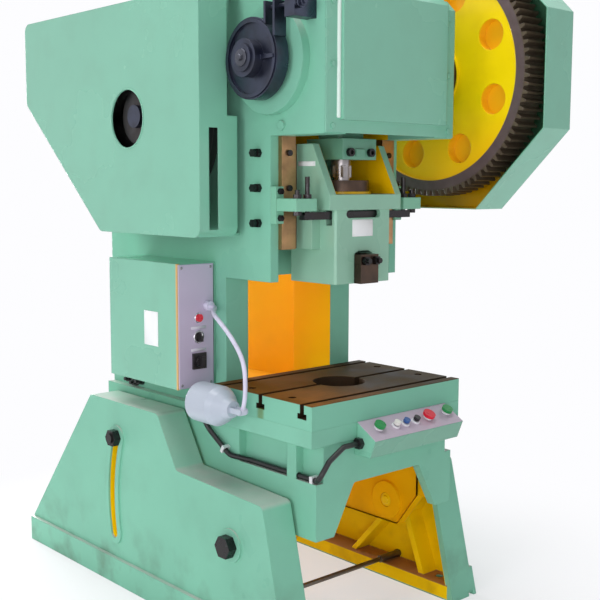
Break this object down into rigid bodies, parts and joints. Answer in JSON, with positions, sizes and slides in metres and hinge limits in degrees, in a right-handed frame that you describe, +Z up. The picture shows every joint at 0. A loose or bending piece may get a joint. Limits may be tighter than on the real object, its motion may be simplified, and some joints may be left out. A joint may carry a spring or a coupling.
{
  "type": "open back inclinable stamping press",
  "caption": "Open-back inclinable crank press: C-frame casting on two legs, guided slide over a T-slotted bolster, geared drive, guards, control station and lamp.",
  "frame": {"origin": "centre of the bolster plate's top face, on the slide's vertical axis and the die hole's axis; the floor is at Z = -733 mm", "axes": "+X to the operator's right along the crankshaft, -Y towards the operator, +Z up along the slide's stroke"},
  "size_m": [1.013, 1.653, 2.11],
  "materials": {
    "green_paint": "gloss",
    "yellow_paint": "gloss",
    "cast_green": "painted gloss",
    "bare_steel": "oiled",
    "dark_steel": "blackened",
    "oiled_iron": "oiled, machined",
    "blue_black_iron": "painted",
    "bronze": "worn",
    "black_rubber": "matt",
    "black_plastic": "matt",
    "white_plastic": "gloss",
    "lilac_paint": "satin",
    "green_plastic": "gloss",
    "red_plastic": "gloss",
    "silver_paint": "satin",
    "motor_grey": "painted"
  },
  "bodies": {
    "base": {"left_leg": "cast_green", "right_leg": "cast_green", "tie_rods": "bare_steel", "tie_rod_nuts": "bare_steel", "pivot_bolts": "dark_steel"},
    "frame": {"press_frame": "cast_green", "bolster_plate": "oiled_iron", "bolster_screws": "dark_steel", "gibs": "bronze", "adjusting_screws": "dark_steel", "tilt_clamp_bolts": "dark_steel", "knockout_stops": "cast_green", "crank_bushes": "bronze", "crank_cover": "green_paint", "cover_screws": "bare_steel", "flywheel_guard": "green_paint", "gear_guard": "green_paint", "brake_band": "blue_black_iron", "brake_bracket": "dark_steel", "brake_spring": "bare_steel", "motor": "motor_grey", "motor_plate": "cast_green", "cabinet": "green_paint", "cabinet_panel": "lilac_paint", "indicator_lens": "red_plastic", "switch_plate": "black_plastic", "control_station": "lilac_paint", "control_conduit": "black_rubber", "conduit_clips": "white_plastic", "cable_glands": "black_plastic", "lamp_gooseneck": "silver_paint", "shaft_bearings": "bronze", "v_belts": "black_rubber"},
    "crank": {"crankshaft": "bare_steel", "brake_drum": "blue_black_iron", "clutch_collar": "bare_steel", "gear_nut": "dark_steel"},
    "gear": {"main_gear": "cast_green"},
    "drive": {"back_shaft": "bare_steel", "pinion": "bare_steel", "flywheel": "cast_green"},
    "motor_rotor": {"motor_pulley": "cast_green"},
    "rod": {"connecting_rod": "cast_green", "rod_cap": "cast_green", "rod_bolts": "dark_steel"},
    "ram": {"slide": "cast_green", "ball_cap": "bare_steel", "shank_clamp": "bare_steel", "clamp_nuts": "dark_steel"},
    "screw": {"ball_screw": "bare_steel"},
    "bar": {"knockout_bar": "bare_steel"},
    "left_palm": {"left_palm_button": "green_plastic"},
    "pilot_1": {"pilot_button_1": "black_plastic"},
    "pilot_2": {"pilot_button_2": "white_plastic"},
    "pilot_3": {"pilot_button_3": "red_plastic"},
    "stop": {"stop_button": "red_plastic"},
    "right_palm": {"right_palm_button": "green_plastic"},
    "selector": {"selector_knob": "black_plastic"},
    "mains": {"main_switch": "black_plastic"},
    "lamp": {"lamp_shade": "silver_paint"}
  },
  "joints": [
    {"name": "frame_tilt", "type": "hinge", "parent": "base", "child": "frame", "pos_m": [0, 0.026, -0.436], "axis": [-1, 0, 0], "range_deg": [0, 8]},
    {"name": "crank_turn", "type": "hinge", "parent": "frame", "child": "crank", "pos_m": [0, 0, 0.952], "axis": [-1, 0, 0], "range_deg": [0, 180]},
    {"name": "stroke", "type": "slide", "parent": "frame", "child": "rod", "axis": [0, 0, -1], "range_m": [0, 0.1]},
    {"name": "die_height_adjustment", "type": "slide", "parent": "rod", "child": "ram", "axis": [0, 0, -1], "range_m": [0, 0.0601]},
    {"name": "screw_turn", "type": "hinge", "parent": "ram", "child": "screw", "pos_m": [0, 0, 0.566], "axis": [0, 0, 1], "range_deg": [0, 3600]},
    {"name": "knockout", "type": "slide", "parent": "ram", "child": "bar", "axis": [0, 0, -1], "range_m": [0, 0.018]},
    {"name": "gear_spin", "type": "hinge", "parent": "frame", "child": "gear", "pos_m": [0, 0, 0.952], "axis": [1, 0, 0], "continuous": true},
    {"name": "drive_spin", "type": "hinge", "parent": "frame", "child": "drive", "pos_m": [0, 0.48, 0.812], "axis": [1, 0, 0], "continuous": true},
    {"name": "motor_spin", "type": "hinge", "parent": "frame", "child": "motor_rotor", "pos_m": [0, 1.015, 1.007], "axis": [1, 0, 0], "continuous": true},
    {"name": "left_palm_push", "type": "slide", "parent": "frame", "child": "left_palm", "axis": [0, 0.5085, -0.861], "range_m": [0, 0.004], "stiffness_N_per_m": 400, "springref_m": -0.005},
    {"name": "pilot_1_push", "type": "slide", "parent": "frame", "child": "pilot_1", "axis": [0, 0.5085, -0.861], "range_m": [0, 0.004], "stiffness_N_per_m": 400, "springref_m": -0.005},
    {"name": "pilot_2_push", "type": "slide", "parent": "frame", "child": "pilot_2", "axis": [0, 0.5085, -0.861], "range_m": [0, 0.004], "stiffness_N_per_m": 400, "springref_m": -0.005},
    {"name": "pilot_3_push", "type": "slide", "parent": "frame", "child": "pilot_3", "axis": [0, 0.5085, -0.861], "range_m": [0, 0.004], "stiffness_N_per_m": 400, "springref_m": -0.005},
    {"name": "stop_push", "type": "slide", "parent": "frame", "child": "stop", "axis": [0, 0.5085, -0.861], "range_m": [0, 0.004], "stiffness_N_per_m": 400, "springref_m": -0.005},
    {"name": "right_palm_push", "type": "slide", "parent": "frame", "child": "right_palm", "axis": [0, 0.5085, -0.861], "range_m": [0, 0.004], "stiffness_N_per_m": 400, "springref_m": -0.005},
    {"name": "selector_turn", "type": "hinge", "parent": "frame", "child": "selector", "pos_m": [-0.334, 0.276, 0.14], "axis": [0, -1, 0], "range_deg": [-45, 45]},
    {"name": "main_switch_turn", "type": "hinge", "parent": "frame", "child": "mains", "pos_m": [-0.334, 0.276, 0.066], "axis": [0, -1, 0], "range_deg": [0, 90]},
    {"name": "lamp_swivel", "type": "hinge", "parent": "frame", "child": "lamp", "pos_m": [-0.385, 0, -0.04], "axis": [1, 0, 0], "range_deg": [-30, 40]}
  ],
  "couplings": [
    {"joint": "stroke", "follows": "crank_turn", "m_per_rad": 0.031831},
    {"joint": "die_height_adjustment", "follows": "screw_turn", "m_per_rad": 0.00095493},
    {"joint": "drive_spin", "follows": "gear_spin", "ratio": -3.0323},
    {"joint": "motor_spin", "follows": "gear_spin", "ratio": -15.262}
  ]
}
